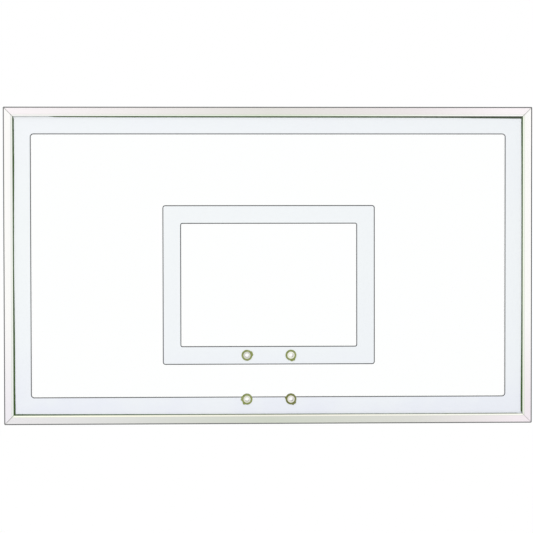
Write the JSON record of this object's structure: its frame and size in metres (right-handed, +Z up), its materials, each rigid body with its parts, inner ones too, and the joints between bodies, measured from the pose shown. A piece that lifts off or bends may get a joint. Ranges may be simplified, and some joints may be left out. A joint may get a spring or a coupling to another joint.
{
  "type": "basketball backboard",
  "caption": "Rectangular glass basketball backboard in a mitred aluminium frame, with a border stripe, a target rectangle, grommeted rim holes and rear corner brackets.",
  "frame": {"origin": "centre of the four rear mounting holes, on the rear faces of the corner brackets", "axes": "+X along the board, to the right as a player sees it; +Y out of the back, towards the support; +Z up; the front face looks along -Y"},
  "size_m": [1.524, 0.0571, 0.9144],
  "materials": {
    "glass": "clear tempered float glass with polished faces and ground arrises",
    "white_enamel": "pale bluish white enamel fired on the front of the glass, smooth",
    "grey_enamel": "thin grey outline fired on the front of the glass, smooth",
    "frame_aluminium": "satin silver anodised extrusion with a fine grain along its length",
    "gasket_rubber": "dark green-black glazing rubber, matt",
    "block_rubber": "black firm rubber, matt",
    "grommet_rubber": "olive green rubber, matt",
    "sleeve_nylon": "natural off-white nylon, matt",
    "key_aluminium": "mill finish cast aluminium",
    "bracket_steel": "zinc-grey powder coat on steel plate, satin",
    "screw_steel": "bright zinc-plated steel"
  },
  "bodies": {
    "root": {"glass_panel": "glass", "border_marking": "white_enamel", "target_marking": "white_enamel", "border_keyline": "grey_enamel", "target_keylines": "grey_enamel", "frame_top_rail": "frame_aluminium", "frame_bottom_rail": "frame_aluminium", "frame_left_stile": "frame_aluminium", "frame_right_stile": "frame_aluminium", "gasket_top": "gasket_rubber", "gasket_bottom": "gasket_rubber", "gasket_left": "gasket_rubber", "gasket_right": "gasket_rubber", "setting_block_left": "block_rubber", "setting_block_right": "block_rubber", "top_block_left": "block_rubber", "top_block_right": "block_rubber", "side_block_left_upper": "block_rubber", "side_block_left_lower": "block_rubber", "side_block_right_upper": "block_rubber", "side_block_right_lower": "block_rubber", "rim_grommet_upper_left": "grommet_rubber", "rim_sleeve_upper_left": "sleeve_nylon", "rim_grommet_upper_right": "grommet_rubber", "rim_sleeve_upper_right": "sleeve_nylon", "rim_grommet_lower_left": "grommet_rubber", "rim_sleeve_lower_left": "sleeve_nylon", "rim_grommet_lower_right": "grommet_rubber", "rim_sleeve_lower_right": "sleeve_nylon", "corner_key_top_left": "key_aluminium", "mounting_bracket_top_left": "bracket_steel", "corner_key_top_right": "key_aluminium", "mounting_bracket_top_right": "bracket_steel", "corner_key_bottom_left": "key_aluminium", "mounting_bracket_bottom_left": "bracket_steel", "corner_key_bottom_right": "key_aluminium", "mounting_bracket_bottom_right": "bracket_steel", "bracket_screws": "screw_steel"}
  },
  "joints": []
}
